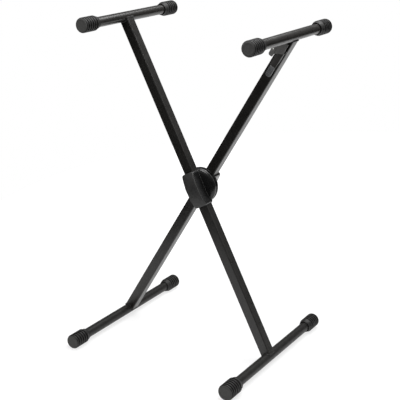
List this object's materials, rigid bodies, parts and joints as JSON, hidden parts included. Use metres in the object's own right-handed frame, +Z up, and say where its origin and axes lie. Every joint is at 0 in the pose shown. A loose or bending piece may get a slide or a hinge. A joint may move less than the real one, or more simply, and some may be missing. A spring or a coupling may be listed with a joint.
{
  "type": "keyboard stand",
  "caption": "Folding X-shaped keyboard stand: square legs crossing in a notched hub, round cross tubes with rubber caps and a squeeze trigger that frees the height lock.",
  "frame": {"origin": "on the floor, midway between the two foot tubes and under the middle of the hub", "axes": "+X across the scissor towards the trigger side, +Y from the front of the stand to its rear along the cross tubes, +Z up"},
  "size_m": [0.5666, 0.5533, 0.9713],
  "materials": {
    "powder_coat": "black powder coat, fine texture, semi-gloss",
    "cap_rubber": "moulded matt black rubber",
    "hub_plastic": "smooth moulded black nylon",
    "fascia_plastic": "spark-textured moulded nylon",
    "zinc_steel": "zinc plated",
    "bare_steel": "oiled steel",
    "nylon": "natural nylon",
    "trigger_paint": "black paint on pressed steel",
    "grip_plastic": "grey moulded plastic"
  },
  "bodies": {
    "front_frame": {"leg_front": "powder_coat", "tube_support_left": "powder_coat", "tube_foot_right": "powder_coat", "cap_support_left_front": "cap_rubber", "cap_support_left_rear": "cap_rubber", "cap_foot_right_rear": "cap_rubber", "hub_cover_front": "hub_plastic", "hub_fascia_front": "fascia_plastic", "pivot_bolt": "zinc_steel", "washer_front": "zinc_steel", "washer_rear": "zinc_steel", "pivot_nut": "zinc_steel", "pivot_sleeve": "zinc_steel", "disc_spacer": "zinc_steel", "index_disc": "bare_steel"},
    "rear_frame": {"leg_rear": "powder_coat", "tube_support_right": "powder_coat", "tube_foot_left": "powder_coat", "cap_support_right_front": "cap_rubber", "cap_support_right_rear": "cap_rubber", "cap_foot_left_front": "cap_rubber", "cap_foot_left_rear": "cap_rubber", "hub_cover_rear": "hub_plastic", "hub_fascia_rear": "fascia_plastic", "friction_washer": "nylon", "return_spring": "bare_steel", "rod_guide_lower": "nylon", "rod_guide_upper": "nylon", "trigger_bracket": "trigger_paint", "trigger_pin": "zinc_steel", "pin_clip": "zinc_steel"},
    "levelling_cap": {"levelling_cap": "cap_rubber"},
    "lock_slide": {"lock_blade": "bare_steel", "pull_rod": "zinc_steel", "rod_clevis": "zinc_steel", "spring_collar": "zinc_steel"},
    "trigger": {"trigger_lever": "trigger_paint", "trigger_grip": "grip_plastic", "crank_pin": "zinc_steel"}
  },
  "joints": [
    {"name": "fold", "type": "hinge", "parent": "front_frame", "child": "rear_frame", "pos_m": [0, 0, 0.48784], "axis": [0, 1, 0], "range_deg": [-50, 40]},
    {"name": "trigger_squeeze", "type": "hinge", "parent": "rear_frame", "child": "trigger", "pos_m": [0.23636, -0.0013, 0.9125], "axis": [0.8738, 0, -0.4863], "range_deg": [0, 5.8], "stiffness_Nm_per_rad": 2, "springref_deg": -8.59},
    {"name": "lock_lift", "type": "slide", "parent": "rear_frame", "child": "lock_slide", "axis": [0.4863, 0, 0.8738], "range_m": [0, 0.00217]},
    {"name": "leveller_turn", "type": "hinge", "parent": "front_frame", "child": "levelling_cap", "pos_m": [0.2597, -0.25, 0.02125], "axis": [0, 1, 0], "range_deg": [-90, 90]}
  ],
  "couplings": [
    {"joint": "lock_lift", "follows": "trigger_squeeze", "m_per_rad": 0.0213}
  ]
}
